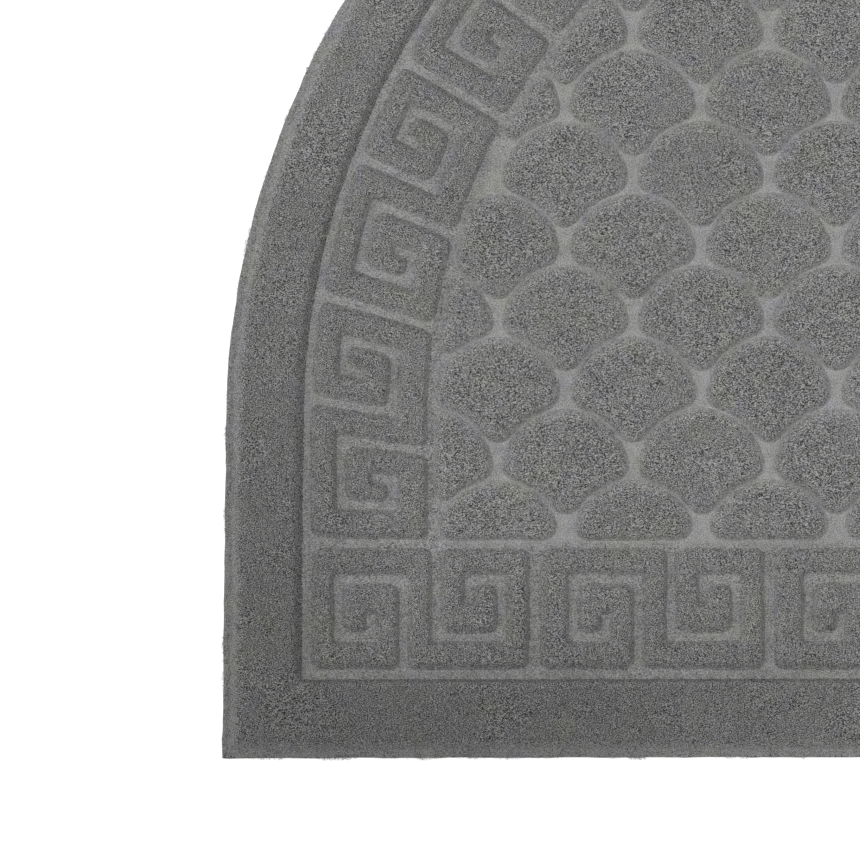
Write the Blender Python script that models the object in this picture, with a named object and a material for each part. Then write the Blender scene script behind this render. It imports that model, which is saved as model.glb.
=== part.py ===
"""Half-round doormat of grey needle felt, pressed in one piece.

The mat lies flat on z = 0, its straight edge towards -Y and the crown of its arch towards +Y, with the
origin at the middle of its underside. A heated mould has left the pile standing in blocks and pressed
smooth grooves between them: a plain border band, a run of Greek-key units inside it, along the straight
edge and round the arch, and a field of fish scales in the middle. Every loop below runs anticlockwise.
"""

import math

import bmesh
import bpy
import numpy as np
from mathutils.geometry import delaunay_2d_cdt

# Outline: a straight edge, sides that lean in a little, and a half ellipse
MAT_WIDTH = 0.750
MAT_DEPTH = 0.456
ARCH_HALF_WIDTH = 0.3734
ARCH_RISE = 0.335
ARCH_START = math.radians(0.7)
ARCH_STEPS = 48

# Heights above the floor
PILE_TOP = 0.0070
GROOVE_TOP = 0.0036
RIM_TOP = 0.0030

# Border band, measured in from the outline
RIM_WIDTH = 0.0022
SHOULDER_WIDTH = 0.0026
BORDER_WIDTH = 0.0284
WALL_DRAFT = 0.0006

# The bands round the arch are this much wider at the straight edge, and narrower from NARROW_HEIGHT up
WIDE_SHARE = 1.01
NARROW_SHARE = 0.97
NARROW_HEIGHT = 0.250

# Greek key: how far in from the edge the blocks and the two lanes of their grooves lie, and where the
# grooves' legs stand, as shares of a unit's length
KEY_GROOVE = 0.0039
CORE_REACH = 0.41
STRAIGHT_RUN = {
    "outer": 0.0327,
    "low_lane": 0.0441,
    "high_lane": 0.0654,
    "inner": 0.0766,
    "legs": {
        "a_far": 0.164, "a_core": 0.303, "a_mouth": 0.442,
        "b_mouth": 0.581, "b_core": 0.720, "b_far": 0.860,
    },
}
ARCH_RUN = {
    "outer": 0.0320,
    "low_lane": 0.0422,
    "high_lane": 0.0616,
    "inner": 0.0744,
    "legs": {
        "a_far": 0.151, "a_core": 0.278, "a_mouth": 0.423,
        "b_mouth": 0.572, "b_core": 0.721, "b_far": 0.848,
    },
}
STRAIGHT_UNITS = 8
STRAIGHT_PITCH = 0.0862
STRAIGHT_START = 0.0286  # from the left side of the mat
STRAIGHT_HALF = 0.3416  # the run's ends are cut off here by the border's groove
ARCH_UNITS = 12
ARCH_PITCH = 0.0848  # along the middle of the band
ARCH_UNIT_ANGLE = math.radians(14.75)
ARCH_FIRST_ANGLE = math.radians(1.3)
RAYS_HEIGHT = 0.0727  # the cross grooves point at the centre line, this far in from the straight edge
LONGEST_EDGE = 0.022

# Fish-scale field
FIELD_INSET = 0.0780
FIELD_LOW = 0.0810
SCALE_RADIUS = 0.0226
SCALE_HOLLOW = 0.0252
SCALE_PITCH = 0.0498
SCALE_ROW = 0.02634
FIRST_ROW = 0.0774
SCALE_ARC_POINTS = 8
SCALE_ARC_START = math.radians(4)
HOLLOW_ANGLES = (math.radians(80), math.radians(54), math.radians(28.5))
LEAST_SCALE_AREA = 0.00009
SHARP_CORNER = math.radians(75)
CORNER_CUT = 0.0022
SHORTEST_EDGE = 0.0010

STRAIGHT_Y = -MAT_DEPTH / 2
SPRING_Y = MAT_DEPTH / 2 - ARCH_RISE
RAYS = np.array([0.0, STRAIGHT_Y + RAYS_HEIGHT])

FELT_COLOUR = (0.17, 0.17, 0.165, 1.0)
FELT_ROUGHNESS = 0.95


def clear_scene():
    """Remove every object that the file holds."""
    for thing in list(bpy.data.objects):
        bpy.data.objects.remove(thing, do_unlink=True)


def felt():
    """Matte dark grey felt."""
    material = bpy.data.materials.new("felt")
    material.use_nodes = True
    shader = material.node_tree.nodes["Principled BSDF"]
    shader.inputs["Base Color"].default_value = FELT_COLOUR
    shader.inputs["Roughness"].default_value = FELT_ROUGHNESS
    shader.inputs["Metallic"].default_value = 0.0
    return material


def drawn_in(inset, y):
    """An inset round the arch, a little wider low down and narrower from NARROW_HEIGHT up."""
    share = np.clip((y - STRAIGHT_Y) / NARROW_HEIGHT, 0, 1)
    return inset * (WIDE_SHARE + (NARROW_SHARE - WIDE_SHARE) * share)


def arch_loop(inset, low):
    """The outline moved in by inset, closed by a straight line that lies low in from the straight edge."""
    angle = np.linspace(ARCH_START, math.pi - ARCH_START, ARCH_STEPS + 1)
    x = ARCH_HALF_WIDTH * np.cos(angle)
    y = SPRING_Y + ARCH_RISE * np.sin(angle)
    normal = np.stack([ARCH_RISE * np.cos(angle), ARCH_HALF_WIDTH * np.sin(angle)], axis=1)
    normal /= np.linalg.norm(normal, axis=1, keepdims=True)
    arch = np.stack([x, y], axis=1) - normal * drawn_in(inset, y)[:, None]
    lean = (MAT_WIDTH / 2 - x[0]) / (y[0] - STRAIGHT_Y)
    corner_x = MAT_WIDTH / 2 - lean * low - drawn_in(inset, STRAIGHT_Y + low)
    corner = np.array([[corner_x, STRAIGHT_Y + low]])
    return np.concatenate([corner, arch, corner * [-1, 1]])


def lane_sides(lane):
    """Both sides of a groove that follows a square-cornered lane, out to its end and back."""
    lane = np.array(lane)
    step = np.sign(np.round(np.diff(lane, axis=0), 6))
    left = np.stack([-step[:, 1], step[:, 0]], axis=1)
    offset = np.concatenate([left[:1], left[:-1] + left[1:], left[-1:]]) * KEY_GROOVE / 2
    return np.concatenate([lane + offset, (lane - offset)[::-1]])


def key_unit(run, pitch, opens, closes):
    """One Greek-key block, laid flat: along it from 0 to pitch, and in from the mat's edge.

    Groove A enters from the border and winds up, groove B enters from the field and winds down. The block
    runs on past its start or its end where opens or closes says that it is the last of its run.
    """
    leg = {name: share * pitch for name, share in run["legs"].items()}
    outer, low, high, inner = run["outer"], run["low_lane"], run["high_lane"], run["inner"]
    reach = CORE_REACH * (high - low)
    lane_a = [(leg["a_mouth"], outer), (leg["a_mouth"], high), (leg["a_far"], high), (leg["a_far"], low)]
    lane_a += [(leg["a_core"], low), (leg["a_core"], low + reach)]
    lane_b = [(leg["b_mouth"], inner), (leg["b_mouth"], low), (leg["b_far"], low), (leg["b_far"], high)]
    lane_b += [(leg["b_core"], high), (leg["b_core"], high - reach)]
    start = -0.1 * pitch if opens else KEY_GROOVE / 2
    end = 1.1 * pitch if closes else pitch - KEY_GROOVE / 2
    below = [(start, outer), *lane_sides(lane_a), (end, outer)]
    above = [(end, inner), *lane_sides(lane_b), (start, inner)]
    return np.array(below + above)


def divided(loop):
    """The loop with its long edges cut into equal lengths, so that they can follow the arch."""
    points = []
    for here, there in zip(loop, np.roll(loop, -1, axis=0)):
        pieces = max(1, math.ceil(np.linalg.norm(there - here) / LONGEST_EDGE))
        points += [here + (there - here) * i / pieces for i in range(pieces)]
    return np.array(points)


def on_ray(angle, inset):
    """The point on a ray from RAYS, swung up from -X by angle, at an inset from the mat's outline."""
    curve = arch_loop(inset, RAYS_HEIGHT / 2)[::-1] - RAYS
    swing = np.unwrap(np.arctan2(curve[:, 1], -curve[:, 0]))
    i = int(np.clip(np.searchsorted(swing, angle) - 1, 0, len(curve) - 2))
    across = np.array([math.sin(angle), math.cos(angle)])
    before, after = curve[i] @ across, curve[i + 1] @ across
    return RAYS + curve[i] + (curve[i + 1] - curve[i]) * before / (before - after)


def straight_keys():
    """The Greek-key blocks along the straight edge."""
    loops = []
    for k in range(STRAIGHT_UNITS):
        flat = key_unit(STRAIGHT_RUN, STRAIGHT_PITCH, k == 0, k == STRAIGHT_UNITS - 1)
        start_x = STRAIGHT_START - MAT_WIDTH / 2 + k * STRAIGHT_PITCH
        x = np.clip(start_x + flat[:, 0], -STRAIGHT_HALF, STRAIGHT_HALF)
        loops.append(np.stack([x, STRAIGHT_Y + flat[:, 1]], axis=1))
    return loops


def arch_keys():
    """The Greek-key blocks round the arch: the same unit, bent along it, from the left foot up and over."""
    loops = []
    for k in range(ARCH_UNITS):
        flat = divided(key_unit(ARCH_RUN, ARCH_PITCH, k == ARCH_UNITS - 1, k == 0))
        angles = ARCH_FIRST_ANGLE + (k + 1 - flat[:, 0] / ARCH_PITCH) * ARCH_UNIT_ANGLE
        loop = np.array([on_ray(angle, inset) for angle, inset in zip(angles, flat[:, 1])])
        loop[:, 1] = np.maximum(loop[:, 1], STRAIGHT_Y + FIELD_LOW)
        loops.append(loop)
    return loops


def scale(centre):
    """One fish scale: a round head, and below it two hollows that fit round the scales of the next row."""
    head = np.linspace(SCALE_ARC_START, math.pi - SCALE_ARC_START, SCALE_ARC_POINTS)
    round_head = SCALE_RADIUS * np.stack([np.cos(head), np.sin(head)], axis=1)
    turn = np.array(HOLLOW_ANGLES)
    left = SCALE_HOLLOW * np.stack([np.cos(turn), np.sin(turn)], axis=1) - [SCALE_PITCH / 2, SCALE_ROW]
    right = left[::-1] * [-1, 1]
    return np.concatenate([round_head, left, right]) + centre


def crossing(inside, outside, fence):
    """Where a line from a point inside a convex fence leaves it, and how far along the fence that is."""
    side = np.roll(fence, -1, axis=0) - fence
    normal = np.stack([-side[:, 1], side[:, 0]], axis=1)
    start = ((inside - fence) * normal).sum(axis=1)
    drop = start - ((outside - fence) * normal).sum(axis=1)
    share = np.where(drop > 0, start / np.where(drop > 0, drop, 1), np.inf)
    i = int(share.argmin())
    point = inside + (outside - inside) * share[i]
    return point, i + np.linalg.norm(point - fence[i]) / np.linalg.norm(side[i])


def within(loop, fence):
    """For each point of a loop, whether it lies inside a convex fence."""
    side = np.roll(fence, -1, axis=0) - fence
    away = loop[:, None, :] - fence[None, :, :]
    return (side[:, 0] * away[:, :, 1] - side[:, 1] * away[:, :, 0] > 0).all(axis=1)


def clipped(loop, fence):
    """The pieces of a loop that a convex fence leaves, each closed along the fence."""
    kept = within(loop, fence)
    if kept.all():
        return [loop]
    runs = []
    for i in np.flatnonzero(kept & ~np.roll(kept, 1)):
        run = [loop[i]]
        while kept[(i + len(run)) % len(loop)]:
            run.append(loop[(i + len(run)) % len(loop)])
        entry, entry_at = crossing(run[0], loop[i - 1], fence)
        leave, leave_at = crossing(run[-1], loop[(i + len(run)) % len(loop)], fence)
        runs.append({"points": [entry, *run, leave], "entry": entry_at, "leave": leave_at})
    pieces = []
    while runs:
        run = first = runs.pop(0)
        piece = list(run["points"])
        while True:
            ahead = [(r["entry"] - run["leave"]) % len(fence) for r in [first, *runs]]
            nearest = int(np.argmin(ahead))
            corners = [i for i in range(len(fence)) if (i - run["leave"]) % len(fence) < ahead[nearest]]
            corners.sort(key=lambda i: (i - run["leave"]) % len(fence))
            piece += [fence[i] for i in corners]
            if nearest == 0:
                break
            run = runs.pop(nearest - 1)
            piece += run["points"]
        pieces.append(np.array(piece))
    return pieces


def area(loop):
    """The area that a loop encloses."""
    ahead = np.roll(loop, -1, axis=0)
    return float((loop[:, 0] * ahead[:, 1] - ahead[:, 0] * loop[:, 1]).sum() / 2)


def blunted(loop):
    """The loop without its shortest edges, and with its sharp corners cut off."""
    loop = loop[np.linalg.norm(loop - np.roll(loop, 1, axis=0), axis=1) > SHORTEST_EDGE]
    points = []
    for before, here, after in zip(np.roll(loop, 1, axis=0), loop, np.roll(loop, -1, axis=0)):
        back, on = before - here, after - here
        long_back, long_on = np.linalg.norm(back), np.linalg.norm(on)
        corner = math.acos(np.clip(back @ on / (long_back * long_on), -1, 1))
        if corner > SHARP_CORNER:
            points.append(here)
            continue
        points.append(here + back * min(CORNER_CUT / long_back, 0.45))
        points.append(here + on * min(CORNER_CUT / long_on, 0.45))
    return np.array(points)


def scales():
    """The field's fish scales, every second row moved half a pitch, cut where the field ends."""
    fence = arch_loop(FIELD_INSET, FIELD_LOW)
    loops = []
    for row in range(math.ceil(MAT_DEPTH / SCALE_ROW)):
        y = STRAIGHT_Y + FIRST_ROW + row * SCALE_ROW
        columns = math.ceil(MAT_WIDTH / SCALE_PITCH) // 2
        shift = 0.5 if row % 2 == 0 else 0.0
        for column in range(-columns, columns + 1):
            centre = np.array([(column + shift) * SCALE_PITCH, y])
            for piece in clipped(scale(centre), fence):
                if area(piece) > LEAST_SCALE_AREA:
                    loops.append(blunted(piece))
    return loops


def inset_loop(loop, distance):
    """The loop with each side moved in by distance, its corners mitred."""
    on = np.roll(loop, -1, axis=0) - loop
    on /= np.linalg.norm(on, axis=1, keepdims=True)
    normal = np.stack([-on[:, 1], on[:, 0]], axis=1)
    before = np.roll(normal, 1, axis=0)
    mitre = (before + normal) / (1 + (before * normal).sum(axis=1, keepdims=True))
    return loop + distance * mitre


def levels():
    """Every loop of the top face with its height, the mat's outline first."""
    rim_inner = RIM_WIDTH + SHOULDER_WIDTH
    border_top = BORDER_WIDTH - WALL_DRAFT
    loops = [
        (arch_loop(0.0, 0.0), RIM_TOP),
        (arch_loop(RIM_WIDTH, RIM_WIDTH), RIM_TOP),
        (arch_loop(rim_inner, rim_inner), PILE_TOP),
        (arch_loop(border_top, border_top), PILE_TOP),
        (arch_loop(BORDER_WIDTH, BORDER_WIDTH), GROOVE_TOP),
    ]
    for block in straight_keys() + arch_keys() + scales():
        loops.append((block, GROOVE_TOP))
        loops.append((inset_loop(block, WALL_DRAFT), PILE_TOP))
    return loops


def mat_mesh():
    """The mat: its top face triangulated between the loops and lifted to their heights, sides, underside."""
    loops = levels()
    flat = np.concatenate([loop for loop, _ in loops])
    height = np.concatenate([np.full(len(loop), level) for loop, level in loops])
    edges = []
    start = 0
    for loop, _ in loops:
        edges += [(start + i, start + (i + 1) % len(loop)) for i in range(len(loop))]
        start += len(loop)
    points, _, faces, sources, _, _ = delaunay_2d_cdt([tuple(p) for p in flat], edges, [], 0, 1e-7, True)
    if len(points) != len(flat):
        raise ValueError("Loops of the top face meet or cross.")
    mesh = bmesh.new()
    top = [mesh.verts.new((p.x, p.y, height[ids[0]])) for p, ids in zip(points, sources)]
    for face in faces:
        mesh.faces.new([top[i] for i in face])
    place = {ids[0]: i for i, ids in enumerate(sources)}
    rim = [top[place[i]] for i in range(len(loops[0][0]))]
    foot = [mesh.verts.new((v.co.x, v.co.y, 0.0)) for v in rim]
    for i in range(len(rim)):
        j = (i + 1) % len(rim)
        mesh.faces.new((foot[i], foot[j], rim[j], rim[i]))
    mesh.faces.new(foot[::-1])
    return mesh


def build_mat():
    """The one-piece mat."""
    data = bpy.data.meshes.new("mat")
    mesh = mat_mesh()
    mesh.to_mesh(data)
    mesh.free()
    data.materials.append(felt())
    mat = bpy.data.objects.new("mat", data)
    bpy.context.scene.collection.objects.link(mat)
    return mat


def main():
    clear_scene()
    build_mat()


main()
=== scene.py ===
import math

import bpy
import numpy as np
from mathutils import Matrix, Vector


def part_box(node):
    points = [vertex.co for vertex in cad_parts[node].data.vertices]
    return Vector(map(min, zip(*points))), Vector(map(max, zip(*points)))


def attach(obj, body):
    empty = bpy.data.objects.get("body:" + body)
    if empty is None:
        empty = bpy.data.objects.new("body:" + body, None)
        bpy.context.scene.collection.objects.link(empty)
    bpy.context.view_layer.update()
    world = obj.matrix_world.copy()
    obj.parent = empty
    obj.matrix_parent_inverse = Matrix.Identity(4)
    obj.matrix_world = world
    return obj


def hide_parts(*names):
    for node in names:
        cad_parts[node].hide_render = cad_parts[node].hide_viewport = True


# Half-round doormat of heathered grey needle felt, pressed in one piece in a heated mould.
# Metres: +X along the straight edge, +Y towards the crown of the arch, +Z up out of the pile. The pressed
# sheet and each kind of standing block is a piece of its own. Loops run anticlockwise seen from above.

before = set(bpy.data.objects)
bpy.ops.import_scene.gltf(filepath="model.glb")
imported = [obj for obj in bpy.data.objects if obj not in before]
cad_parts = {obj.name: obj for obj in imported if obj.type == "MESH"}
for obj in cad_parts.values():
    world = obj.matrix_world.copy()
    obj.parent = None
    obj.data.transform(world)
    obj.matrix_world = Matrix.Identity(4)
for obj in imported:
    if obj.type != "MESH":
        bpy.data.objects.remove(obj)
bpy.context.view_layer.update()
mat_low, mat_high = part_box("mat")

# Outline: a straight edge, sides that lean in a little, and a half ellipse
MAT_WIDTH = mat_high.x - mat_low.x
MAT_DEPTH = mat_high.y - mat_low.y
STRAIGHT_Y = mat_low.y
ARCH_HALF_WIDTH = 0.3734
ARCH_RISE = 0.335
ARCH_START = math.radians(0.7)
ARCH_LENGTH = 1.113
SPRING_Y = mat_high.y - ARCH_RISE

# Heights above the floor
PILE_TOP = mat_high.z
SCALE_TOP = PILE_TOP - 0.0003
GROOVE_TOP = 0.0036
FIELD_FLOOR = 0.0039
RIM_TOP = 0.0030
LIP = -0.00002  # the blocks' feet start this far from the groove's floor, just inside it
ROOT_WALL = 0.0010  # and a short wall goes down from there

# The pressed sheet's rounded rim, from the underside up: how far in, and how high
RIM_PROFILE = np.array([
    (0.00060, 0.00000), (0.00018, 0.00012), (0.00000, 0.00055), (0.00000, 0.00190),
    (0.00010, 0.00250), (0.00040, 0.00287), (0.00095, 0.00302), (0.00160, 0.00302), (0.00240, 0.00295),
])
FLOOR_EDGE = (0.0045, 0.0080)
SHEET_MIDDLE = np.array([0.0, SPRING_Y - 0.06])
FIELD_STEP = (0.0745, 0.0785)  # the sheet rises to the field's floor between these

# Border band, measured in from the outline
RIM_WIDTH = 0.0022
BORDER_WIDTH = 0.0284

# The blocks' walls. The soft foot reaches `spread` past the solid's edge, and the top is reached `shoulder`
# further in. A higher power puts the steep part lower down. Pile and tone follow the distance in from the
# foot: the pile pressed and light in colour there, and standing further up. The tone tables hold painted
# light and shade: painted shade in the crease at the foot, and on the keys and scales painted light up the
# wall against its shading. A wall is steeper where it faces `steep` and softer where it faces the other
# way, at most by `soft`. A scale's wall takes more painted light where it faces the lit side given in its
# table, near +Y, and so does the border's inner wall on the straight side.
WALL_AT = (0.0, 0.0005, 0.0010, 0.0015, 0.0020, 0.0030, 0.0042)
BORDER_WALL = {
    "spread": 0.0006,
    "shoulder": 0.0038,
    "power": 2,
    "pile": (0.45, 0.65, 0.80, 0.90, 1.00, 1.00, 1.00),
    # painted shade: the border's inner wall darkened in its crease and up its lower slope
    "tone": (0.80, 0.77, 0.83, 0.90, 0.96, 1.00, 1.00),
    # painted light on the straight side's inner wall, against the shade along its foot
    "painted_light": (0.02, 0.16, 0.38, 0.31, 0.16, 0.03, 0.00),
}
KEY_WALL = {
    "spread": 0.0006,
    "shoulder": 0.0040,
    "power": 3,
    "steep": (0.42, 0.14),
    "soft": 0.15,
    "pile": (0.28, 0.42, 0.60, 0.78, 0.91, 1.00, 1.00),
    # painted shade in the crease at the foot, then painted light up the wall against its shading
    "tone": (0.94, 0.97, 1.08, 1.17, 1.14, 1.04, 0.99),
}
SCALE_WALL = {
    "spread": 0.00125,
    "shoulder": 0.0042,
    "power": 3,
    "steep": (0.15, -0.14),
    "soft": 0.20,
    "pile": (0.14, 0.20, 0.44, 0.66, 0.82, 0.95, 1.00),
    # painted shade in the crease at the foot, then painted light up the wall against its shading
    "tone": (0.95, 0.96, 0.98, 1.16, 1.24, 1.14, 1.03),
    # painted light on the side of a scale's wall that faces the lit side, near +Y
    "painted_lit_side": (0.25, 0.97),
    "painted_light": (0.10, 0.16, 0.18, 0.20, 0.19, 0.06, 0.00),
}
STEEPER_BY = 0.0023  # the straight side's inner wall is this much narrower than the arch's
CORNER_BLEND = 0.006  # and turns into it within this much of the corner

# The border's outer wall, and across it, in from the rim, the pile and painted light on the rim's shoulder:
# strong at the straight edge with a faint painted shade a little further in, slight round the arch
OUTER_WALL = {"shoulder": 0.0046, "power": 3}
OUTER_EDGE_AT = (0.0, 0.0011, 0.0026, 0.0043, 0.0080)
OUTER_EDGE_PILE = (0.30, 0.36, 0.48, 0.72, 1.00)
# painted light along the straight edge's rim, then a faint painted shade further in
STRAIGHT_RIM_PAINTED_LIGHT_AND_SHADE = (0.45, 0.08, -0.07, -0.06, 0.00)
ARCH_RIM_PAINTED_LIGHT = (0.00, 0.08, 0.02, 0.00, 0.00)

# The pile left on the floor of the grooves, in from the outline
FLOOR_AT = (0.0025, 0.0300, 0.0345, 0.0720, 0.0765, 0.0785, 0.0803)
FLOOR_PILE = (0.36, 0.14, 0.15, 0.33, 0.36, 0.32, 0.02)

# The felt is darker low down, most of all in the border, and evenly light from LIGHT_Y up. From the middle
# to the sides it darkens to SIDE_TONE, and takes on the whole of DARKNESS instead of the first SIDE_SHARE.
DARK_Y = -0.215
LIGHT_Y = 0.050
DARK_INSET = (0.028, 0.036, 0.070)
DARKNESS = (0.41, 0.28, 0.075)
DARK_SIDE = (0.10, 0.29)
SIDE_SHARE = (0.45, 1.00)
SIDE_TONE = (1.00, 0.96)

# The bands round the arch are this much wider at the straight edge, and narrower from NARROW_HEIGHT up
WIDE_SHARE = 1.01
NARROW_SHARE = 0.97
NARROW_HEIGHT = 0.250

# Greek key: how far in the band's edges and the two lanes of its grooves lie, and where the grooves' legs
# stand, as shares of a unit's length
KEY_GROOVE = 0.0039
STRAIGHT_GROOVE = 0.0046  # between the units of the straight run
CORE_REACH = 0.41
STRAIGHT_RUN = {
    "outer": 0.0329,
    "low_lane": 0.0443,
    "high_lane": 0.0656,
    "inner": 0.0768,
    "legs": {
        "a_far": 0.164, "a_core": 0.303, "a_mouth": 0.442,
        "b_mouth": 0.581, "b_core": 0.720, "b_far": 0.860,
    },
}
ARCH_RUN = {
    "outer": 0.0320,
    "low_lane": 0.0427,
    "high_lane": 0.0618,
    "inner": 0.0744,
    "legs": {
        "a_far": 0.151, "a_core": 0.278, "a_mouth": 0.423,
        "b_mouth": 0.572, "b_core": 0.721, "b_far": 0.848,
    },
}
STRAIGHT_UNITS = 8
STRAIGHT_PITCH = 0.0862
STRAIGHT_START = 0.0286
STRAIGHT_HALF = 0.3416
ARCH_UNITS = 12
ARCH_PITCH = 0.0848
ARCH_UNIT_ANGLE = math.radians(14.75)
ARCH_FIRST_ANGLE = math.radians(1.3)
RAYS_HEIGHT = 0.0727
RAYS = np.array([0.0, STRAIGHT_Y + RAYS_HEIGHT])
RAY_INSETS = np.linspace(0.028, 0.080, 7)
BAND_MIDDLE = 0.055

# How unevenly the felt was pressed, in layers of a height or a move, and the size of its cells
SHIFT_LAYERS = ((0.00016, 0.0085), (0.00013, 0.0027))
LUMP_LAYERS = ((0.00012, 0.034), (0.00008, 0.011), (0.00010, 0.0036), (0.00007, 0.0021))
SHEET_LAYERS = ((0.00007, 0.019), (0.00005, 0.006))

# Fish-scale field. The mould pressed it a little off centre.
FIELD_SHIFT = np.array([0.00025, 0.00085])
FIELD_INSET = 0.0780
FIELD_LOW = 0.0810
SCALE_RADIUS = 0.0226
SCALE_HOLLOW = 0.0252
SCALE_PITCH = 0.0498
SCALE_ROW = 0.02634
FIRST_ROW = 0.0774
SCALE_ARC_START = math.radians(4)
HOLLOW_START = math.radians(80)
HOLLOW_END = math.radians(28.5)
COLUMNS_EACH_WAY = 8
TRIAL_ACROSS = np.linspace(-0.021, 0.021, 43)  # the deepest point of a scale is looked for at these
TRIAL_UP = np.linspace(-0.014, 0.022, 37)
LEAST_SCALE_AREA = 0.00009
LEAST_ROOM = 0.0015
WALL_SHARE = 0.40  # a narrow scale's wall takes up this much of its width
OPPOSED = -0.3  # two stretches of an outline face each other where their normals' product is less
SCALE_GROUPS = 4

# Fineness of the meshes
OUTLINE_STEP = 0.0015
BASE_STEP = 0.0022
UNDER_RINGS = 10
FLOOR_RINGS = 42
WALL_RINGS = np.array([0, 0, 0.0005, 0.0009, 0.0013, 0.0017, 0.0022, 0.0029])
OUTER_RINGS = np.array([0, 0, 0.0005, 0.0010, 0.0015, 0.0021, 0.0029, 0.0038])
INNER_RINGS = np.array([0.0038, 0.0030, 0.0024, 0.0019, 0.0014, 0.0009, 0.0004, 0, 0])
BAND_RINGS = 12
KEY_STEP = 0.0014
KEY_COLUMNS = 4
HEAD_POINTS = 60
HOLLOW_POINTS = 30
FENCE_STEP = 0.012
RAY_COUNT = 360
BLUNT_RAYS = 7
CORNER_PASSES = 18
SCALE_POINTS = 72
SCALE_RINGS = 8

# Stray fibres along the edge. The ranges are of the reach, the slant, the curl and the lift.
FIBRE_COUNT = 3400
FIBRE_STEPS = 5
FIBRE_RADIUS = 0.00008
FIBRE_RANGES = ((0.0006, 0.0021), (-0.0016, 0.0016), (-0.0012, 0.0012), (-0.0014, 0.0008))
ROOT_INSET = 0.0007
ROOT_STEP = 0.0004
ROOT_HEIGHTS = (0.0005, 0.0028)
TUFT_CELL = 0.006
LOWEST_FIBRE = 0.00015

# The felt's colours, and the waves its fibres run in, each with its turn, scale and share
PRESSED_GREY = (0.345, 0.347, 0.342, 1)
STANDING_GREY = (0.2135, 0.214, 0.211, 1)
YELLOWISH = (1.01, 1.015, 0.945, 1)
BLUISH = (0.985, 0.98, 1.06, 1)
FIBRE_WAVES = ((0.0, 1280.0, 0.60), (0.40, 1190.0, 0.26), (-0.35, 1230.0, 0.22))

# The photograph's frame: where its middle lies on the mat, and how much of the mat it spans
VIEW_CENTRE = (-0.2984, -0.1075)
VIEW_WIDTH = 0.3153
VIEW_ROLL = math.radians(-0.10)
VIEW_HEIGHT = 2.40
SENSOR = 36.0
FLOOR_HALF = 8.0
FLOOR_LEVEL = -0.0004


def lattice_noise(x, y, cell, seed):
    """Random heights from -1 to 1 on a square lattice, `cell` apart, with a smooth step in between."""
    heights = np.random.default_rng(seed).uniform(-1, 1, (512, 512))
    column, row = np.floor(x / cell).astype(int), np.floor(y / cell).astype(int)
    across, up = x / cell - column, y / cell - row
    across, up = across * across * (3 - 2 * across), up * up * (3 - 2 * up)
    low = heights[row % 512, column % 512] * (1 - across) + heights[row % 512, (column + 1) % 512] * across
    row = row + 1
    high = heights[row % 512, column % 512] * (1 - across) + heights[row % 512, (column + 1) % 512] * across
    return low * (1 - up) + high * up


def unevenness(x, y, layers, seed):
    """The sum of layers of lattice noise, each with its own height and cell."""
    return sum(height * lattice_noise(x, y, cell, seed + k) for k, (height, cell) in enumerate(layers))


def shifted(plan):
    """Plan points moved each way by up to 0.3 mm, as unevenly as the felt was pressed."""
    x, y = plan[..., 0], plan[..., 1]
    return plan + np.stack([unevenness(x, y, SHIFT_LAYERS, seed) for seed in (11, 13)], axis=-1)


def lumps(x, y):
    """Unevenness of the pile's top: soft swells with smaller tufts on them, in metres."""
    return unevenness(x, y, LUMP_LAYERS, 21)


def rise(edge, wall):
    """From 0 at a block's foot to 1 at its top, level at both: 1 - (1 - t)^n (1 + n t), t from 0 to 1."""
    t = np.clip(edge / wall["shoulder"], 0, 1)
    return 1 - (1 - t) ** wall["power"] * (1 + wall["power"] * t)


def drawn_in(inset, y):
    """An inset round the arch, a little wider low down and narrower from NARROW_HEIGHT up."""
    share = np.clip((y - STRAIGHT_Y) / NARROW_HEIGHT, 0, 1)
    return inset * (WIDE_SHARE + (NARROW_SHARE - WIDE_SHARE) * share)


def outlines(insets, step, low=None):
    """The mat's outline moved in by each inset: rings x points x 2, anticlockwise from the left corner.

    A half ellipse moved along its normals, straight sides down to the corners, and the straight edge. Each
    stretch has as many points on every ring, so that the corners are mitred. With low, all the corners lie
    that far in from the straight edge.
    """
    insets = np.asarray(insets, float)[:, None]
    low = insets if low is None else np.full_like(insets, low)
    turn = np.linspace(ARCH_START, math.pi - ARCH_START, round(ARCH_LENGTH / step))
    x = ARCH_HALF_WIDTH * np.cos(turn)
    y = SPRING_Y + ARCH_RISE * np.sin(turn)
    normal = np.stack([ARCH_RISE * np.cos(turn), ARCH_HALF_WIDTH * np.sin(turn)], axis=1)
    normal /= np.linalg.norm(normal, axis=1, keepdims=True)
    arch = np.stack([x, y], axis=1) - normal * drawn_in(insets, y)[..., None]
    lean = (MAT_WIDTH / 2 - x[0]) / (y[0] - STRAIGHT_Y)
    corner_x = MAT_WIDTH / 2 - lean * low - drawn_in(insets, STRAIGHT_Y + low)
    right = np.stack([corner_x, STRAIGHT_Y + low], axis=-1)
    left = right * [-1, 1]
    along = np.linspace(0, 1, round(MAT_WIDTH / step))[:-1, None]
    up = np.linspace(0, 1, round((SPRING_Y - STRAIGHT_Y) / step))[:-1, None]
    edge = left + (right - left) * along
    right_side = right + (arch[:, :1] - right) * up
    left_side = (left + (arch[:, -1:] - left) * up)[:, :0:-1]
    return np.concatenate([edge, right_side, arch, left_side], axis=1)


def loop_normals(loops):
    """Unit normals that point inwards, from the chord between each point's neighbours."""
    chord = np.roll(loops, -1, axis=-2) - np.roll(loops, 1, axis=-2)
    chord /= np.maximum(np.linalg.norm(chord, axis=-1, keepdims=True), 1e-9)
    return np.stack([-chord[..., 1], chord[..., 0]], axis=-1)


def softened(loops, passes):
    """Closed loops with their corners rounded: each pass takes a quarter of both neighbours."""
    for _ in range(passes):
        loops = (np.roll(loops, 1, axis=-2) + 2 * loops + np.roll(loops, -1, axis=-2)) / 4
    return loops


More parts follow.
